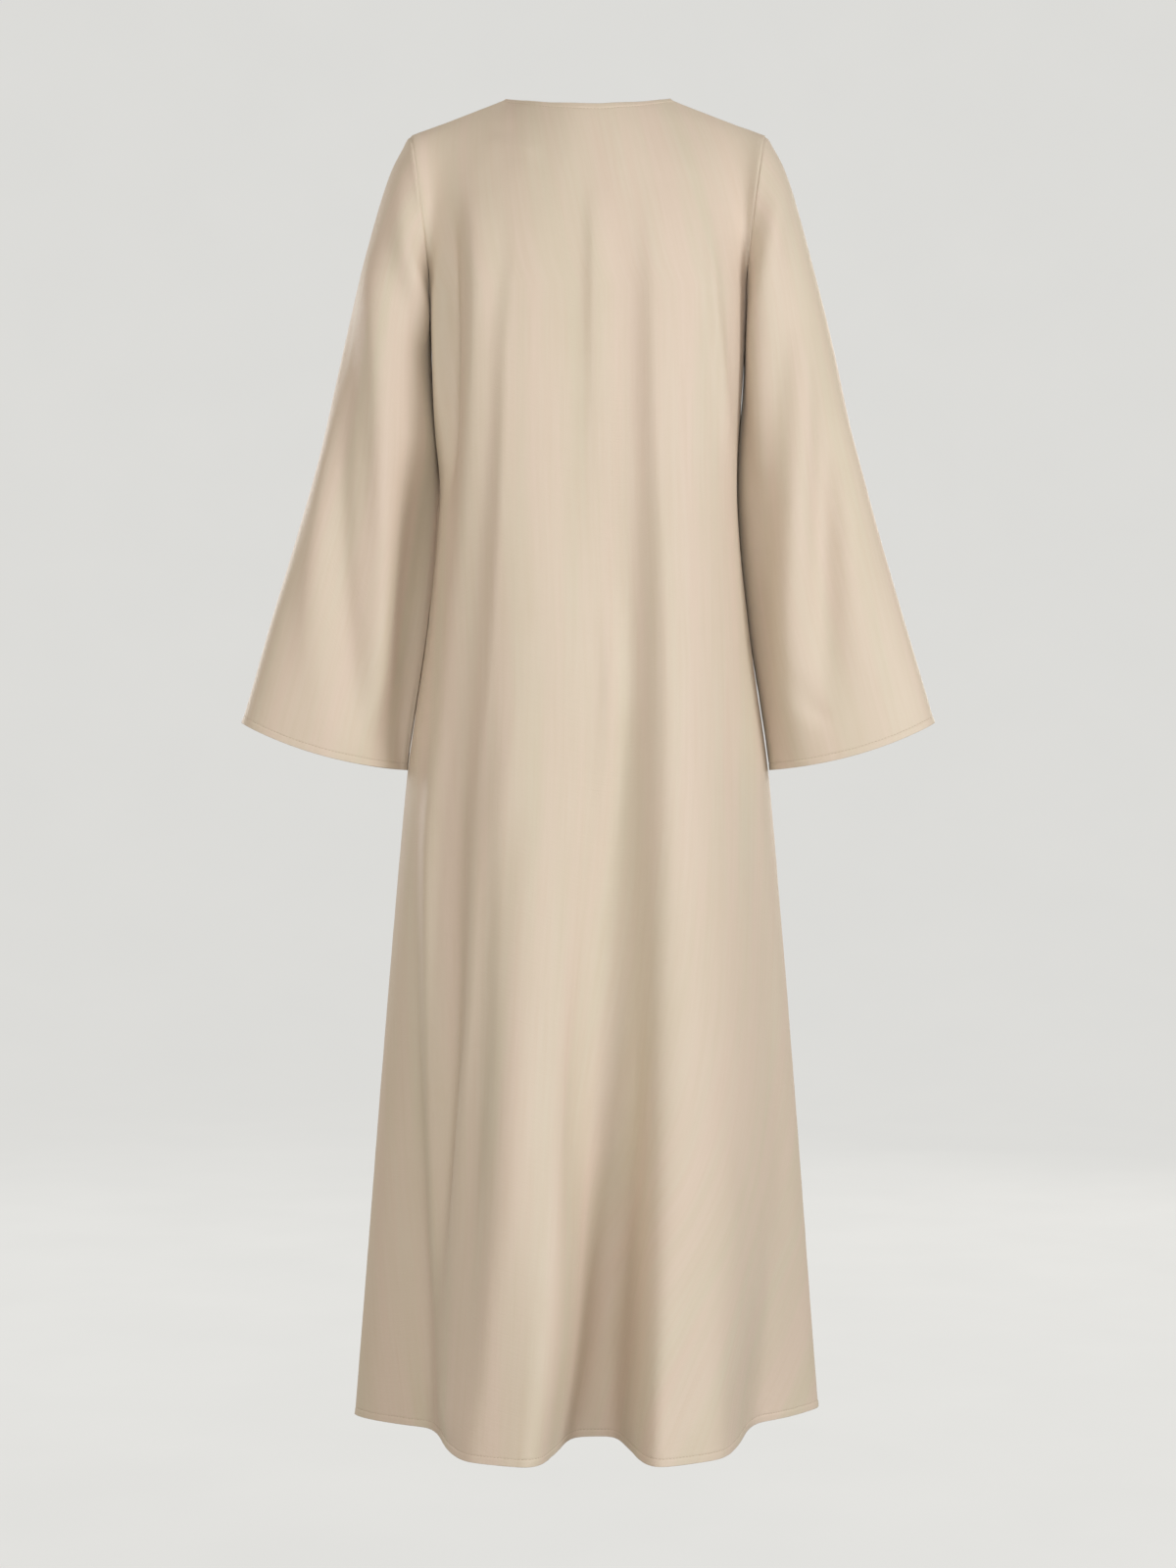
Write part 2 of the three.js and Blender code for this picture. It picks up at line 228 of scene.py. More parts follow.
def upper_edge(part):
    """The shoulder seams and the neckline of one piece."""
    seam = spaced(np.array([SHOULDER_TIP, NECK_POINT]), SHOULDER_COLUMNS * FINER)
    if part != "back":
        return np.concatenate([seam, spaced(front_neckline(), NECK_COLUMNS // 2 * FINER)[1:]])
    left = seam * (-1, 1, 1)
    neck = spaced(back_neckline(), NECK_COLUMNS * FINER)
    return np.concatenate([left, neck[1:-1], seam[::-1]])


def yoke_row(part, top, foot, turn):
    """A row between the shoulders and the underarm. Its ends lie on the armhole seams."""
    fall = (1 - math.cos(math.pi * turn)) / 2
    toward_tip = (np.abs(top[:, 0]) - NECK_POINT[0]) / (SHOULDER_TIP[0] - NECK_POINT[0])
    toward_tip = np.clip(toward_tip, 0, 1)
    swell = (1 - (1 - fall) ** 2.2) ** (0.9 - 0.28 * smooth(toward_tip))
    edge = toward_tip ** 4 * math.sin(math.pi * turn)
    row = top + (foot - top) * fall
    row[:, 0] -= np.sign(top[:, 0]) * ARMHOLE_SCOOP * edge
    row[:, 1] = top[:, 1] + (foot[:, 1] - top[:, 1]) * swell
    row[:, 1] += (-ARMHOLE_BACK if part == "back" else ARMHOLE_FRONT) * edge
    return row


def body_grid(part):
    """All the rows of a piece of the body, from its shoulders to its hem."""
    top, foot = upper_edge(part), section_row(part, UNDERARM_Z)
    rows = [yoke_row(part, top, foot, i / YOKE_ROWS) for i in range(YOKE_ROWS)]
    rows += [section_row(part, level) for level in np.linspace(UNDERARM_Z, HEM_Z, SKIRT_ROWS)]
    grid = np.array(rows)
    # The yoke is eased across, so that no line runs down from the ends of the neckline.
    turn = np.clip(np.arange(len(grid)) / YOKE_ROWS, 0, 1)
    share = (smooth(turn / 0.3) * smooth((1 - turn) / 0.3))[:, None, None]
    for _ in range(YOKE_EASE):
        between = (grid[:, :-2] + 2 * grid[:, 1:-1] + grid[:, 2:]) / 4
        grid[:, 1:-1] += share * (between - grid[:, 1:-1])
    columns = np.moveaxis(grid[:YOKE_ROWS + 1], 0, 1)
    grid[:YOKE_ROWS + 1] = np.moveaxis([spaced(column, YOKE_ROWS) for column in columns], 1, 0)
    return grid


def sleeve_ring(along, roll):
    """A ring of the right sleeve, from the underarm seam round the back to the front."""
    fade = 1 - min(along / ARMHOLE_REACH, 1)
    inner_z = UNDERARM_Z + (CUFF_INNER_Z - UNDERARM_Z) * along
    inner = np.array([read(SECTIONS, inner_z, "half_width"), 0, inner_z])
    inner[0] += SLEEVE_CLEARANCE * (1 - fade)
    outer = np.array([read(SLEEVE, along, "outer_x"), 0, read(SLEEVE, along, "outer_z")])
    down = np.array([outer[2] - inner[2], 0, inner[0] - outer[0]])
    down /= np.linalg.norm(down)
    angle = np.linspace(math.pi, -math.pi, 16 * FINER + 1)
    share = ((1 - np.cos(angle)) / 2)[:, None]
    rounded = np.abs(np.sin(angle))
    depth = np.sign(np.sin(angle)) * rounded ** read(SLEEVE, along, "round")
    ring = outer + (inner - outer) * share
    ring[:, 0] -= ARMHOLE_SCOOP * fade * rounded
    lag = rounded * fade + 1 - fade
    ring[:, 1] = -read(SLEEVE, along, "half_depth") * depth
    ring[:, 1] -= read(SLEEVE, along, "behind") * lag
    # Lower down, the edge beside the body rolls forward.
    inward = np.clip(share[:, 0] * 2 - 1, 0, 1) ** 2
    ring[:, 1] += roll * inward * smooth((along - 0.2) / 0.3)
    return ring + down * (read(SLEEVE, along, "droop") * rounded ** 2)[:, None]


def sleeve_grid(roll):
    return np.array([sleeve_ring(along, roll) for along in np.linspace(0, 1, SLEEVE_ROWS)])


def mirrored(grid):
    return (grid * (-1, 1, 1))[:, ::-1]


# ---------------------------------------------------------------- making, in millimetres

CLOTH_WALL, HEM_WALL = 0.9, 2.3
HEM_WIDTH, STITCH_LINE = 8.6, 7.4
# How far a seam dips along its line, how high the cloth stands beside it, and its lip inside.
SEAM_DIP, SEAM_ROLL, SEAM_LIP = 1.3, 0.3, 1.2
# How high a hem stands, how deep its stitches pull it in, and how much it bulges unevenly.
HEM_STEP, STITCH_GROOVE, HEM_BULGE = 0.4, 0.75, 0.3
# How far the hanging cloth strays from its form, and how far apart it does so.
SLACK, SLACK_SIZE, SLACK_GRAIN = 0.9, 34, 0.22
# How much the creases' heights are raised in all.
RELIEF = 1.6
# Over how far from a seam the normals turn to the shared one, and creases and slack begin.
SEAM_EASE, CREASE_START, SLACK_START = 7, 14, 20
# Distances from an edge at which every shell has a line of points.
EDGE_LINES = np.array([0, 0.5, 1.1, 1.9, 3.0, 4.4, 5.8, 6.7, 7.4, 8.1, 8.9, 10.2, 12.5, 16])


def reach_along(grid, axis):
    """The distance of each point from the start of its line, measured on the cloth."""
    steps = np.linalg.norm(np.diff(grid, axis=axis), axis=2)
    start = np.zeros_like(steps.take([0], axis))
    return np.concatenate([start, np.cumsum(steps, axis)], axis)


def edge_lines(grid, axis):
    """The grid again, with lines of points close together along both of its edges."""
    grid = np.moveaxis(grid, axis, 1)
    count = grid.shape[1]
    index = np.arange(count)
    made = []
    for line, reach in zip(grid, reach_along(grid, 1)):
        first = np.interp(EDGE_LINES, reach, index)
        last = np.interp(reach[-1] - EDGE_LINES, reach, index)[::-1]
        between = np.linspace(first[-1], last[0], count - 6)[1:-1]
        at = np.concatenate([first, between, last])
        made.append(np.stack([np.interp(at, index, line[:, k]) for k in range(3)], -1))
    return np.moveaxis(np.array(made), 1, axis)


def normals_of(grid):
    """The outward normal at each point of a grid."""
    down = np.gradient(grid, axis=0)
    across = np.gradient(grid, axis=1)
    normal = np.cross(down, across)
    return normal / np.maximum(np.linalg.norm(normal, axis=2, keepdims=True), 1e-9)


class Panel:
    """One cut piece: its form, the distance of each point from each edge, and its edges."""

    def __init__(self, name, grid, edges, mirror=False):
        self.name = name
        self.edges = edges
        grid = edge_lines(edge_lines(grid, 1), 0)
        self.flat = grid
        self.side = -1 if mirror else 1
        across, down = reach_along(grid, 1), reach_along(grid, 0)
        self.distance = {
            "left": across, "right": across[:, -1:] - across,
            "top": down, "bottom": down[-1:] - down,
        }
        middle = across[:, across.shape[1] // 2, None]
        self.uv = np.stack([(across - middle), -down], -1) * MM
        self.normal = normals_of(grid)
        self.grid = grid.copy()
        self.wall = np.full(grid.shape[:2], CLOTH_WALL)

    def kind(self, edge):
        """1 where that edge is a seam and 0 where it is a hem, for each point."""
        if self.edges[edge] == "neck":
            shoulder = np.abs(self.flat[0, :, 0]) >= NECK_POINT[0] - 0.01
            return np.broadcast_to(shoulder.astype(float)[None], self.wall.shape)
        return np.full(self.wall.shape, float(self.edges[edge] == "seam"))

    def press(self, offset):
        """Moves every point along its normal."""
        self.grid += self.normal * offset[..., None]


def wobble(panel, size, seed):
    """Smooth unevenness, from -1 to 1, with features about that many millimetres across."""
    flat = panel.flat / size
    values = [noise.noise(Vector(p) + Vector((seed, seed * 1.7, 0))) for p in flat.reshape(-1, 3)]
    return np.array(values).reshape(flat.shape[:2])


def sew(panel):
    """Seams roll under and stand up beside their line, and hems are thick and pressed."""
    pucker = wobble(panel, 14, 3.1)
    push = np.zeros(panel.wall.shape)
    for edge, d in panel.distance.items():
        seam = panel.kind(edge)
        roll = SEAM_ROLL * (1 + pucker) * np.exp(-(((d - 7) / 4) ** 2))
        dip = SEAM_DIP * np.exp(-((d / 1.7) ** 2))
        turned = HEM_STEP * smooth((HEM_WIDTH + 0.6 - d) / 1.2)
        groove = STITCH_GROOVE * np.exp(-(((d - STITCH_LINE) / 0.9) ** 2)) * (1 + 0.5 * pucker)
        bulge = HEM_BULGE * pucker * np.exp(-((d / 14) ** 2))
        made = seam * (roll - dip) + (1 - seam) * (turned - groove + bulge)
        push = np.where(np.abs(made) > np.abs(push), made, push)
        thick = (HEM_WALL - CLOTH_WALL) * (d < HEM_WIDTH) * (1 - seam)
        lip = SEAM_LIP * np.exp(-((d / 0.7) ** 2)) * seam
        panel.wall = np.maximum(panel.wall, CLOTH_WALL + thick + lip)
    panel.press(push)


def clear_of_seams(panel, reach):
    """1 on the open cloth, falling smoothly to 0 at every seam."""
    mask = np.ones(panel.wall.shape)
    for edge, distance in panel.distance.items():
        seam = panel.kind(edge)
        mask = mask * (1 - seam * (1 - smooth(distance / reach)))
    return mask


def smooth_path(points, steps=8):
    """Rows of numbers along a smooth curve through the given rows."""
    rows = np.array(points, float)
    ends = np.concatenate([[2 * rows[0] - rows[1]], rows, [2 * rows[-1] - rows[-2]]])
    t = (np.arange(steps) / steps)[:, None]
    path = []
    for a, b, c, d in zip(ends[:-3], ends[1:-2], ends[2:-1], ends[3:]):
        bend = (2 * a - 5 * b + 4 * c - d) * t ** 2 + (3 * b - a - 3 * c + d) * t ** 3
        path.append(b + 0.5 * ((c - a) * t + bend))
    return np.concatenate(path + [rows[-1:]])


def crease(panel, points, face=0):
    """A soft ridge down a line of points: x, z, its width on the left and on the right of
    the line as it runs down, and its height, which is below 0 in a trough. A face of -1 or 1
    keeps it on the back or the front of a sleeve, and off the sleeve's outline."""
    at = panel.flat[..., [0, 2]] * (panel.side, 1)
    path = smooth_path(points)
    best = np.full(at.shape[:2], 1e9)
    found = np.zeros((*at.shape[:2], 3))
    beside = np.zeros(at.shape[:2])
    for start, end in zip(path[:-1], path[1:]):
        run = end[:2] - start[:2]
        off = at - start[:2]
        t = np.clip(off @ run / (run @ run), 0, 1)
        away = np.linalg.norm(off - t[..., None] * run, axis=2)
        nearer = away < best
        best = np.where(nearer, away, best)
        turn = run[0] * off[..., 1] - run[1] * off[..., 0]
        beside = np.where(nearer, turn, beside)
        here = start[2:] + (end - start)[2:] * t[..., None]
        found = np.where(nearer[..., None], here, found)
    width = np.where(beside < 0, found[..., 0], found[..., 1])
    offset = RELIEF * found[..., 2] * np.exp(-((best / width) ** 2))
    if face:
        offset = offset * smooth(2.5 * face * panel.normal[..., 1])
    panel.press(offset * clear_of_seams(panel, CREASE_START))


# ---------------------------------------------------------------- creases

# Each crease is rows of x, z, left width, right width and height, from its top down.
BACK_CREASES = (
    # The long ridge inside the left armhole, steep on its outer side, down to the hem.
    ((-122, -110, 12, 20, 0), (-114, -178, 12, 24, 5), (-112, -268, 13, 26, 8),
     (-116, -378, 14, 28, 8), (-126, -488, 14, 26, 6), (-143, -628, 14, 22, 4),
     (-160, -778, 11, 16, 7), (-159, -978, 11, 14, 8), (-153, -1178, 11, 13, 7),
     (-146, -1370, 12, 14, 2)),
    # The next ridge in, which broadens from the shoulder blade and thins again below.
    ((-78, -120, 14, 50, 0), (-72, -178, 14, 60, 2), (-78, -268, 14, 60, 6),
     (-80, -378, 14, 60, 8), (-84, -488, 16, 60, 9), (-92, -628, 20, 60, 9),
     (-107, -778, 16, 26, 9), (-114, -978, 12, 14, 9), (-126, -1178, 11, 12, 8),
     (-137, -1370, 12, 12, 2)),
    # The top of the left hanging fold, and the slope that leads up to it.
    ((-64, -640, 20, 50, 0), (-76, -778, 18, 48, 6), (-84, -978, 17, 50, 7),
     (-92, -1178, 17, 50, 5), (-100, -1340, 18, 40, 0)),
    # Two short soft folds in the middle.
    ((5, -108, 8, 16, 0), (6, -178, 8, 18, 2.4), (6, -268, 9, 20, 2.6), (8, -378, 12, 24, 1.2),
     (10, -460, 12, 24, 0)),
    ((22, -530, 10, 18, 0), (23, -628, 10, 20, 3.2), (20, -700, 12, 22, 2), (18, -780, 12, 22, 0)),
    # The edge of the right hanging fold, with the middle valley on its left.
    ((62, -106, 14, 50, 0), (67, -178, 15, 50, 3), (69, -268, 16, 50, 6),
     (71, -378, 16, 50, 7), (76, -488, 18, 50, 9), (80, -628, 22, 55, 11),
     (84, -778, 28, 60, 12), (82, -978, 34, 60, 12), (80, -1178, 36, 60, 6),
     (80, -1340, 36, 60, 0)),
    # The middle valley, wider and deeper down the skirt.
    ((40, -420, 24, 16, 0), (38, -560, 32, 18, -4), (32, -728, 50, 26, -10),
     (18, -900, 60, 40, -17), (12, -1060, 56, 44, -17), (16, -1220, 44, 38, -7),
     (20, -1350, 30, 30, 0)),
    # The cloth's turn at the left armhole: a thin ridge, and a hollow beside it.
    ((-160, -170, 6, 6, 0), (-156, -230, 6, 6, 4), (-154, -300, 6, 6, 6), (-154, -370, 6, 6, 4),
     (-154, -440, 6, 6, 0)),
    ((-140, -130, 8, 9, 0), (-143, -190, 8, 9, -7), (-145, -280, 8, 10, -12),
     (-146, -360, 8, 10, -10), (-149, -450, 8, 9, 0)),
    # A thin line inside the right armhole, and low swells on the right of the skirt.
    ((124, -130, 6, 7, 0), (126, -190, 7, 8, 2.6), (132, -268, 7, 8, 3.2),
     (140, -340, 7, 8, 2.4), (150, -430, 7, 8, 0)),
    ((150, -740, 30, 30, 0), (158, -900, 32, 34, 4), (166, -1100, 34, 36, 8),
     (172, -1250, 34, 38, 8), (178, -1370, 34, 38, 1)),
    # Slack at the left of the neck.
    ((-106, -52, 7, 7, 0), (-86, -60, 7, 9, 1.3), (-66, -70, 7, 10, 1.1), (-48, -84, 7, 10, 0)),
)
FRONT_CREASES = (
    ((128, -120, 20, 12, 0), (138, -200, 22, 12, 4), (146, -300, 24, 12, 6),
     (148, -420, 24, 12, 5), (156, -560, 24, 12, 3), (168, -700, 20, 12, 0)),
    ((72, -150, 40, 14, 0), (78, -260, 46, 14, 4), (84, -400, 50, 16, 6), (90, -560, 50, 18, 6),
     (98, -760, 44, 18, 5), (104, -960, 40, 20, 0)),
    ((34, -230, 16, 20, 0), (36, -360, 18, 24, 2.4), (40, -520, 20, 26, 3), (46, -700, 20, 26, 0)),
    ((56, -740, 20, 30, 0), (54, -900, 22, 34, 4), (50, -1100, 22, 34, 5), (44, -1330, 22, 34, 0)),
    ((160, -760, 26, 14, 0), (172, -900, 26, 14, 4), (186, -1100, 26, 16, 5),
     (200, -1330, 26, 16, 0)),
)
# On the right sleeve: rows as above, then the face, -1 behind and 1 in front.
RIGHT_SLEEVE_CREASES = (
    (((204, -90, 12, 12, 0), (192, -150, 12, 14, 5), (184, -215, 12, 16, 8),
      (180, -290, 12, 16, 7), (182, -370, 12, 18, 4), (188, -440, 12, 18, 0)), -1),
    (((222, -250, 14, 22, 0), (219, -330, 18, 22, 6), (216, -430, 20, 20, 11),
      (214, -540, 20, 20, 12), (217, -630, 20, 22, 8), (224, -700, 20, 24, 2)), -1),
    (((236, -240, 12, 18, 0), (240, -350, 12, 18, -2.4), (242, -480, 12, 18, -3.4),
      (244, -600, 12, 18, -2.4), (248, -670, 12, 18, 0)), -1),
    (((268, -340, 14, 30, 0), (268, -430, 14, 30, 3.4), (272, -540, 16, 34, 4),
      (282, -640, 16, 34, 0)), -1),
    (((224, -612, 9, 9, 0), (230, -640, 8, 9, -2.2), (240, -656, 8, 9, -2), (254, -664, 9, 9, 0)),
     -1),
    (((196, -110, 12, 10, 0), (186, -170, 12, 9, 3.4), (176, -230, 12, 8, 0)), 1),
    (((222, -220, 22, 16, 0), (222, -330, 24, 18, 6), (224, -470, 24, 20, 8),
      (232, -620, 24, 20, 0)), 1),
    (((262, -350, 30, 16, 0), (270, -460, 34, 18, 5), (284, -580, 34, 18, 5),
      (296, -650, 34, 18, 0)), 1),
)
LEFT_SLEEVE_CREASES = (
    (((196, -110, 10, 12, 0), (188, -170, 9, 14, 4), (176, -225, 8, 12, 5), (168, -275, 8, 12, 0)),
     -1),
    (((226, -160, 16, 14, 0), (218, -260, 20, 14, 5), (214, -370, 24, 14, 7),
      (212, -480, 24, 14, 8), (216, -600, 24, 14, 8), (222, -680, 24, 14, 0)), -1),
    (((176, -370, 24, 24, 0), (180, -460, 28, 24, -9), (190, -570, 28, 24, -12),
      (198, -650, 28, 24, -10), (204, -720, 26, 24, -3)), -1),
    (((246, -210, 14, 18, 0), (252, -300, 14, 20, -4), (258, -390, 14, 22, -6),
      (256, -500, 14, 24, -6), (244, -620, 14, 24, -5), (240, -690, 14, 24, 0)), -1),
    (((262, -280, 22, 14, 0), (272, -400, 30, 14, 3.6), (284, -520, 34, 16, 4),
      (296, -640, 34, 16, 0)), -1),
    (((196, -110, 12, 10, 0), (186, -170, 12, 9, 3.4), (176, -230, 12, 8, 0)), 1),
    (((226, -240, 22, 16, 0), (228, -350, 24, 18, 6), (232, -480, 24, 20, 7),
      (240, -630, 24, 20, 0)), 1),
    (((266, -370, 30, 16, 0), (276, -480, 34, 18, 5), (290, -600, 34, 18, 3)), 1),
)


def lay_creases(panel, creases):
    for rows in creases:
        if isinstance(rows[1], tuple):
            crease(panel, rows)
        else:
            crease(panel, *rows)


def settle(panel):
    """The slight slackness of hanging cloth, long down its grain and short across it."""
    stretched = panel.flat * (1, 1, SLACK_GRAIN)
    values = [noise.noise(Vector(p) / SLACK_SIZE) for p in stretched.reshape(-1, 3)]
    slack = np.array(values).reshape(panel.wall.shape)
    panel.press(SLACK * slack * clear_of_seams(panel, SLACK_START))


# ---------------------------------------------------------------- meshes

def make_object(name, points, faces, uvs=None):
    mesh = bpy.data.meshes.new(name)
    mesh.from_pydata((points * MM).tolist(), [], faces)
    mesh.polygons.foreach_set("use_smooth", [True] * len(mesh.polygons))
    if uvs is not None:
        layer = mesh.uv_layers.new(name="cloth")
        corners = np.zeros(len(mesh.loops), int)
        mesh.loops.foreach_get("vertex_index", corners)
        layer.data.foreach_set("uv", uvs[corners].ravel())
    mesh.update()
    obj = bpy.data.objects.new(name, mesh)
    bpy.context.scene.collection.objects.link(obj)
    return obj


def rim_loop(rows, columns):
    """Grid indices once round the edge of a panel."""
    index = np.arange(rows * columns).reshape(rows, columns)
    return np.concatenate([index[0, :-1], index[:-1, -1], index[-1, :0:-1], index[:0:-1, 0]])


def shell(panel):
    """The closed shell of a panel: outer face, inner face and a rounded edge."""
    normal = panel.normal
    outer = panel.grid.reshape(-1, 3)
    inner = (panel.grid - normal * panel.wall[..., None]).reshape(-1, 3)
    rows, columns = panel.wall.shape
    rim = rim_loop(rows, columns)
    after = np.roll(rim, -1)
    out = np.cross(outer[after] - outer[np.roll(rim, 1)], normal.reshape(-1, 3)[rim])
    out /= np.linalg.norm(out, axis=1, keepdims=True)
    bulge = np.where(panel.joined.reshape(-1)[rim], 0.0, 0.35)[:, None]
    middle = (outer[rim] + inner[rim]) / 2 + out * bulge * panel.wall.reshape(-1)[rim][:, None]
    count = rows * columns
    index = np.arange(count).reshape(rows, columns)
    a, b, c, d = index[:-1, :-1], index[1:, :-1], index[1:, 1:], index[:-1, 1:]
    front = np.stack([a, b, c, d], -1).reshape(-1, 4)
    back = np.stack([a, d, c, b], -1).reshape(-1, 4) + count
    mid = 2 * count + np.arange(len(rim))
    mid_after = np.roll(mid, -1)
    edge_out = np.stack([rim, after, mid_after, mid], -1)
    edge_in = np.stack([mid, mid_after, after + count, rim + count], -1)
    faces = np.concatenate([front, back, edge_out, edge_in]).tolist()
    uv = panel.uv.reshape(-1, 2)
    uvs = np.concatenate([uv, uv, uv[rim]])
    return make_object(panel.name, np.concatenate([outer, inner, middle]), faces, uvs)


def join_seams(panels):
    """At a seam, the pieces that meet share one normal and stand a hair apart."""
    rims = []
    for number, panel in enumerate(panels):
        rows, columns = panel.wall.shape
        panel.joined = np.zeros((rows, columns), bool)
        for edge, where in (("left", (slice(None), 0)), ("right", (slice(None), -1)),
                            ("top", (0, slice(None))), ("bottom", (-1, slice(None)))):
            panel.joined[where] |= panel.kind(edge)[where] > 0.5
        for i, j in np.argwhere(panel.joined):
            rims.append((number, panel.flat[i, j], panel.normal[i, j].copy(), (i, j)))
    trees = []
    for number in range(len(panels)):
        own = [(k, rim[1]) for k, rim in enumerate(rims) if rim[0] == number]
        tree = KDTree(len(own))
        for k, point in own:
            tree.insert(point, k)
        tree.balance()
        trees.append(tree)
    for number, point, normal, (i, j) in rims:
        total = normal.copy()
        for other, tree in enumerate(trees):
            if other == number:
                continue
            _, k, away = tree.find(point)
            total += rims[k][2] * math.exp(-((away / 3) ** 2))
        panels[number].normal[i, j] = total / np.linalg.norm(total)
    for panel in panels:
        n = panel.normal
        panel.rims = {"left": n[:, :1].copy(), "right": n[:, -1:].copy(),
                      "top": n[:1].copy(), "bottom": n[-1:].copy()}
        ease_to_seams(panel)


def ease_to_seams(panel):
    """Turns the normals beside a seam to the one that the pieces share there."""
    for edge, distance in panel.distance.items():
        share = (panel.kind(edge) * (1 - smooth(distance / SEAM_EASE)))[..., None]
        panel.normal = panel.normal * (1 - share) + panel.rims[edge] * share
    panel.normal /= np.linalg.norm(panel.normal, axis=2, keepdims=True)


# A stitch's length, the gap to the next and the thread's radius; how many lines of points in
# from the edge the row is; the points along a stitch and round its thread.
STITCH, STITCH_GAP, THREAD = 2.7, 0.9, 0.3
NEEDLE = int(np.argmin(np.abs(EDGE_LINES - STITCH_LINE)))
STITCH_RINGS, STITCH_SIDES = 5, 6


def stitches(panel, edge, name):
    """A row of sewn stitches along a hem, as one mesh of small rounded bars."""
    where = {"left": (slice(None), NEEDLE), "right": (slice(None), -1 - NEEDLE),
             "top": (NEEDLE, slice(None)), "bottom": (-1 - NEEDLE, slice(None))}[edge]
    hemmed = panel.kind(edge)[where] < 0.5
    line, side = panel.grid[where][hemmed], normals_of(panel.grid)[where][hemmed]
    reach = np.concatenate([[0], np.cumsum(np.linalg.norm(np.diff(line, axis=0), axis=1))])
    begins = np.arange(6, reach[-1] - 6 - STITCH, STITCH + STITCH_GAP)
    at = begins[:, None] + STITCH * np.array([0, 0.18, 0.5, 0.82, 1.0])
    radius = THREAD * np.array([0.35, 0.9, 1, 0.9, 0.35])
    lift = THREAD * np.array([-0.7, 0.25, 0.45, 0.25, -0.7])
    centre = np.stack([np.interp(at, reach, line[:, k]) for k in range(3)], -1)
    up = np.stack([np.interp(at, reach, side[:, k]) for k in range(3)], -1)
    up /= np.linalg.norm(up, axis=-1, keepdims=True)
    along = np.gradient(centre, axis=1)
    along /= np.linalg.norm(along, axis=-1, keepdims=True)
    beside = np.cross(along, up)
    angle = np.linspace(0, 2 * math.pi, STITCH_SIDES + 1)[:-1]
    ring = (up[:, :, None] * np.cos(angle)[None, None, :, None]
            + beside[:, :, None] * np.sin(angle)[None, None, :, None])
    points = (centre + up * lift[None, :, None])[:, :, None] + ring * radius[None, :, None, None]
    faces = []
    for k in range(STITCH_RINGS - 1):
        first, second = STITCH_SIDES * k, STITCH_SIDES * (k + 1)
        for m in range(STITCH_SIDES):
            n = (m + 1) % STITCH_SIDES
            faces.append((first + m, first + n, second + n, second + m))
    corners = STITCH_RINGS * STITCH_SIDES
    faces += [tuple(range(STITCH_SIDES))[::-1], tuple(range(corners - STITCH_SIDES, corners))]
    every = [tuple(corners * s + v for v in face) for s in range(len(begins)) for face in faces]
    return make_object(name, points.reshape(-1, 3), every)


# ---------------------------------------------------------------- materials

class Nodes:
    """A material's node tree, with short ways to add and link nodes."""

    def __init__(self, name):
        self.material = bpy.data.materials.new(name)
        self.material.use_nodes = True
        self.tree = self.material.node_tree
        self.shader = self.tree.nodes["Principled BSDF"]

    def add(self, kind, **values):
        node = self.tree.nodes.new("ShaderNode" + kind)
        for name, value in values.items():
            if hasattr(node, name):
                setattr(node, name, value)
            else:
                node.inputs[name.replace("_", " ").title()].default_value = value
        return node

    def link(self, output, target):
        self.tree.links.new(output, target)

    def stretched(self, source, scale):
        mapping = self.add("Mapping")
        mapping.inputs["Scale"].default_value = scale
        self.link(source, mapping.inputs["Vector"])
        return mapping.outputs["Vector"]

    def noise(self, vector, scale, detail=2.0, rough=0.5):
        node = self.add("TexNoise")
        node.inputs["Scale"].default_value = scale
        node.inputs["Detail"].default_value = detail
        node.inputs["Roughness"].default_value = rough
        self.link(vector, node.inputs["Vector"])
        return node.outputs["Fac"]

    def wave(self, vector, scale, direction, distortion):
        node = self.add("TexWave", bands_direction=direction)
        node.inputs["Scale"].default_value = scale
        node.inputs["Distortion"].default_value = distortion
        node.inputs["Detail"].default_value = 1.0
        self.link(vector, node.inputs["Vector"])
        return node.outputs["Fac"]

    def ramp(self, source, *stops):
        node = self.add("ValToRGB")
        ramp = node.color_ramp
        while len(ramp.elements) < len(stops):
            ramp.elements.new(0.5)
        for element, (place, color) in zip(ramp.elements, stops):
            element.position = place
            element.color = (*color, 1)
        self.link(source, node.inputs["Fac"])
        return node.outputs["Color"]

    def math(self, operation, a, b):
        node = self.add("Math", operation=operation)
        for socket, value in zip(node.inputs, (a, b)):
            if isinstance(value, (int, float)):
                socket.default_value = value
            else:
                self.link(value, socket)
        return node.outputs["Value"]

    def mix(self, share, a, b, blend="MIX"):
        node = self.add("Mix", data_type="RGBA", blend_type=blend)
        for socket, value in ((node.inputs[0], share), (node.inputs[6], a), (node.inputs[7], b)):
            if isinstance(value, (int, float)):
                socket.default_value = value
            elif isinstance(value, tuple):
                socket.default_value = (*value, 1)
            else:
                self.link(value, socket)
        return node.outputs[2]

    def bump(self, height, strength, distance, under=None):
        node = self.add("Bump")
        node.inputs["Strength"].default_value = strength
        node.inputs["Distance"].default_value = distance
        self.link(height, node.inputs["Height"])
        if under is not None:
            self.link(under, node.inputs["Normal"])
        return node.outputs["Normal"]


# Wave textures repeat every pi / 10 of a unit of their scale.
WAVE_UNIT = math.pi / 10
THREAD_PITCH = 0.0006


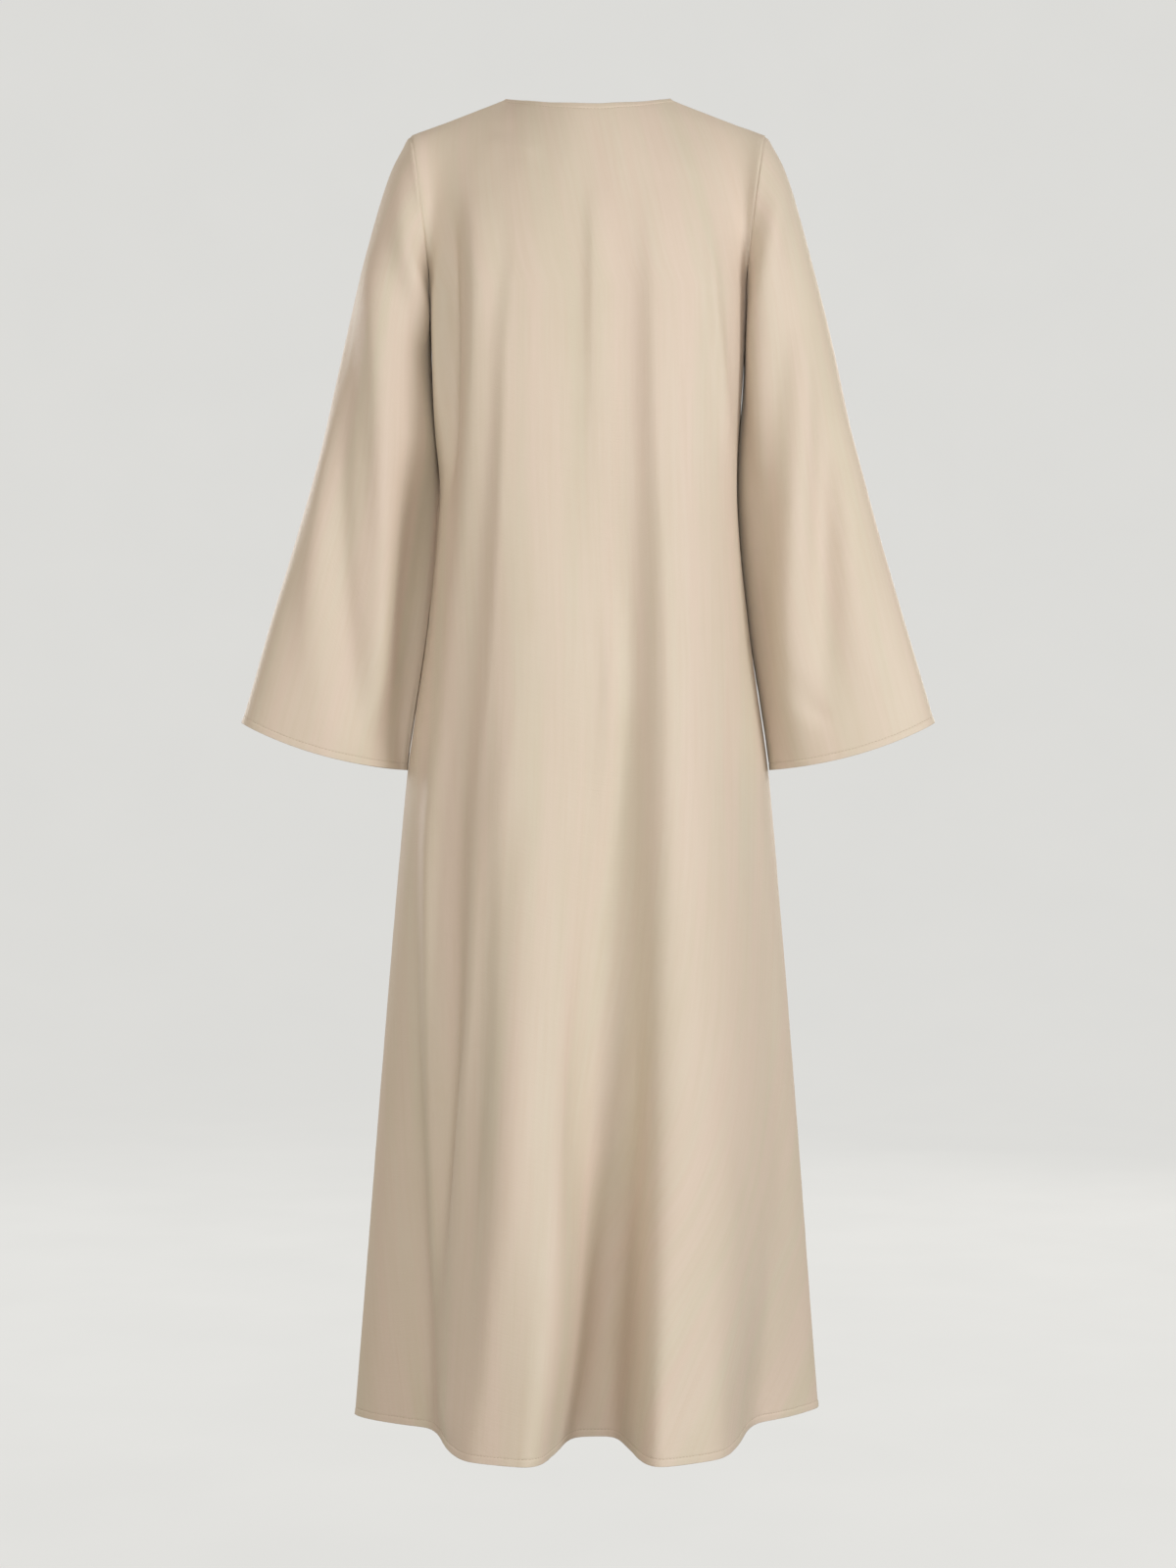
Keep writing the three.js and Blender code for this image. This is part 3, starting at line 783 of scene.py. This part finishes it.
def cloth_material(name, light, deep, warm, rose):
    """Smooth satin-backed crepe: a fine weave with slubs, faint streaks and a soft sheen."""
    n = Nodes(name)
    uv = n.add("UVMap", uv_map="cloth").outputs["UV"]
    shader = n.shader
    shader.inputs["Specular IOR Level"].default_value = 0.35
    shader.inputs["Sheen Weight"].default_value = 0.25
    shader.inputs["Sheen Roughness"].default_value = 0.42
    shader.inputs["Sheen Tint"].default_value = (1.0, 0.91, 0.8, 1)
    streaks = n.noise(n.stretched(uv, (1.0, 0.03, 1)), 210, 4.0, 0.65)
    weft = n.noise(n.stretched(uv, (0.05, 1.0, 1)), 420, 3.0, 0.6)
    bands = n.noise(n.stretched(uv, (1.0, 0.07, 1)), 24, 3.0, 0.55)
    clouds = n.noise(uv, 5.5, 3.0, 0.55)
    base = n.ramp(clouds, (0.3, deep), (0.7, light))
    base = n.mix(n.ramp(bands, (0.35, (0, 0, 0)), (0.62, (1, 1, 1))), base, rose)
    base = n.mix(n.ramp(streaks, (0.4, (0, 0, 0)), (0.75, (0.24, 0.24, 0.24))), base, warm)
    base = n.mix(n.math("MULTIPLY", weft, 0.16), base, light)
    n.link(base, shader.inputs["Base Color"])
    gloss = n.math("ADD", n.math("MULTIPLY", streaks, 0.12), 0.48)
    n.link(gloss, shader.inputs["Roughness"])
    warp = n.wave(uv, WAVE_UNIT / THREAD_PITCH, "X", 1.5)
    fill = n.wave(uv, WAVE_UNIT / THREAD_PITCH, "Y", 1.5)
    weave = n.bump(n.math("MAXIMUM", warp, fill), 0.35, 0.00012)
    slubs = n.bump(n.math("ADD", streaks, weft), 0.22, 0.0006, weave)
    crepe = n.bump(n.noise(uv, 700, 2.0), 0.25, 0.0002, slubs)
    n.link(crepe, shader.inputs["Normal"])
    return n.material


def thread_material():
    n = Nodes("thread")
    place = n.add("TexCoord").outputs["Object"]
    twist = n.noise(place, 1800, 2.0)
    n.link(n.ramp(twist, (0.3, (0.44, 0.36, 0.27)), (0.7, (0.58, 0.49, 0.38))),
           n.shader.inputs["Base Color"])
    n.shader.inputs["Roughness"].default_value = 0.55
    n.shader.inputs["Sheen Weight"].default_value = 0.2
    n.link(n.bump(twist, 0.4, 0.0001), n.shader.inputs["Normal"])
    return n.material


def backdrop_material():
    n = Nodes("studio_paper")
    shader = n.shader
    place = n.add("TexCoord").outputs["Object"]
    mottle = n.noise(place, 3.0, 3.0)
    paper = n.ramp(mottle, (0.3, (0.09, 0.09, 0.087)), (0.7, (0.11, 0.11, 0.107)))
    n.link(paper, shader.inputs["Base Color"])
    shader.inputs["Roughness"].default_value = 0.95
    shader.inputs["Specular IOR Level"].default_value = 0.1
    shader.inputs["Emission Color"].default_value = (0.99, 0.99, 0.965, 1)
    shader.inputs["Emission Strength"].default_value = 0.68
    return n.material


# ---------------------------------------------------------------- the cloak

BODY = "root"
CLOTH = ((0.67, 0.605, 0.492), (0.635, 0.56, 0.44), (0.60, 0.485, 0.355), (0.69, 0.575, 0.482))


def make_panels():
    body = {"left": "seam", "right": "seam", "top": "neck", "bottom": "hem"}
    right = {**body, "left": "seam", "right": "hem"}
    left = {**body, "left": "hem", "right": "seam"}
    tube = {"left": "seam", "right": "seam", "top": "seam", "bottom": "hem"}
    return [
        Panel("back", body_grid("back"), body),
        Panel("front_right", body_grid("front_right"), right),
        Panel("front_left", mirrored(body_grid("front_left")), left, mirror=True),
        Panel("sleeve_right", sleeve_grid(RIGHT_SLEEVE_ROLL), tube),
        Panel("sleeve_left", mirrored(sleeve_grid(LEFT_SLEEVE_ROLL)), tube, mirror=True),
    ]


CREASES = {
    "back": BACK_CREASES,
    "front_right": FRONT_CREASES,
    "front_left": FRONT_CREASES,
    "sleeve_right": RIGHT_SLEEVE_CREASES,
    "sleeve_left": LEFT_SLEEVE_CREASES,
}
HEMS = {
    "back": ("top", "bottom"),
    "front_right": ("top", "bottom", "right"),
    "front_left": ("top", "bottom", "left"),
    "sleeve_right": ("bottom",),
    "sleeve_left": ("bottom",),
}


def make_cloak():
    panels = make_panels()
    join_seams(panels)
    cloth = cloth_material("satin_crepe", *CLOTH)
    thread = thread_material()
    for panel in panels:
        lay_creases(panel, CREASES[panel.name])
        settle(panel)
        panel.normal = normals_of(panel.grid)
        ease_to_seams(panel)
        sew(panel)
        piece = shell(panel)
        piece.data.materials.append(cloth)
        for edge in HEMS[panel.name]:
            row = stitches(panel, edge, f"stitches_{panel.name}_{edge}")
            row.data.materials.append(thread)
            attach(row, BODY)
        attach(piece, BODY)
        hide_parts(panel.name)


# ---------------------------------------------------------------- studio

CAMERA_DISTANCE = 2.8
CAMERA_HEIGHT = -0.7277
CAMERA_LENS = 60.52
FLOOR_DROP = 0.3
SWEEP_RADIUS, SWEEP_BEND, SWEEP_HEIGHT = 7.5, 3.0, 5.5
SWEEP_STEPS, SWEEP_TURNS = 16, 64


def make_camera():
    camera = bpy.data.cameras.new("camera")
    camera.lens = CAMERA_LENS
    camera.sensor_width = 36
    camera.clip_end = 50
    obj = bpy.data.objects.new("camera", camera)
    obj.location = (0, -CAMERA_DISTANCE, CAMERA_HEIGHT)
    obj.rotation_euler = (math.pi / 2, 0, 0)
    bpy.context.scene.collection.objects.link(obj)
    bpy.context.scene.camera = obj


def make_backdrop():
    """A round sweep of pale paper: a floor that curves up into a wall, the same all round."""
    floor = cad_box[0][2] - FLOOR_DROP
    profile = [(0.0, floor), (0.7, floor), (2.0, floor)]
    for i in range(0, SWEEP_STEPS + 1):
        angle = math.pi / 2 * i / SWEEP_STEPS
        profile.append((SWEEP_RADIUS - SWEEP_BEND * (1 - math.sin(angle)),
                        floor + SWEEP_BEND * (1 - math.cos(angle))))
    profile.append((SWEEP_RADIUS, floor + SWEEP_HEIGHT))
    turns = np.arange(SWEEP_TURNS) * 2 * math.pi / SWEEP_TURNS
    points = np.array([(r * math.cos(t), r * math.sin(t), z) for r, z in profile for t in turns])
    faces = []
    for i in range(len(profile) - 1):
        for j in range(SWEEP_TURNS):
            k = (j + 1) % SWEEP_TURNS
            row = i * SWEEP_TURNS
            faces.append((row + j, row + k, row + SWEEP_TURNS + k, row + SWEEP_TURNS + j))
    paper = make_object("backdrop", points / MM, faces)
    paper.data.materials.append(backdrop_material())
    paper.visible_diffuse = False
    paper.visible_glossy = False


def area_light(name, place, target, size, power, color):
    light = bpy.data.lights.new(name, "AREA")
    light.shape = "DISK"
    light.size = size
    light.energy = power
    light.color = color
    obj = bpy.data.objects.new(name, light)
    obj.location = place
    obj.rotation_euler = (Vector(target) - Vector(place)).to_track_quat("-Z", "Y").to_euler()
    bpy.context.scene.collection.objects.link(obj)


def make_lights():
    world = bpy.data.worlds.new("studio")
    bpy.context.scene.world = world
    world.use_nodes = True
    sky = world.node_tree.nodes["Background"]
    sky.inputs["Color"].default_value = (1.0, 0.90, 0.76, 1)
    sky.inputs["Strength"].default_value = 0.34
    middle = (0, 0, -0.7)
    area_light("key", (2.75, -2.3, 0.0), middle, 1.2, 60, (0.98, 0.99, 1.0))
    area_light("front", (0.2, -3.9, 0.1), middle, 1.8, 54, (0.99, 0.99, 1.0))
    area_light("fill", (-2.9, -1.9, -0.4), middle, 1.8, 17, (1.0, 0.93, 0.84))
    area_light("front_key", (-2.6, 3.0, 0.3), middle, 1.4, 46, (0.98, 0.99, 1.0))
    area_light("front_fill", (1.6, 3.6, 0.1), middle, 1.8, 44, (1.0, 0.96, 0.9))
    bpy.context.scene.view_settings.view_transform = "Standard"


make_camera()
make_backdrop()
make_lights()
make_cloak()
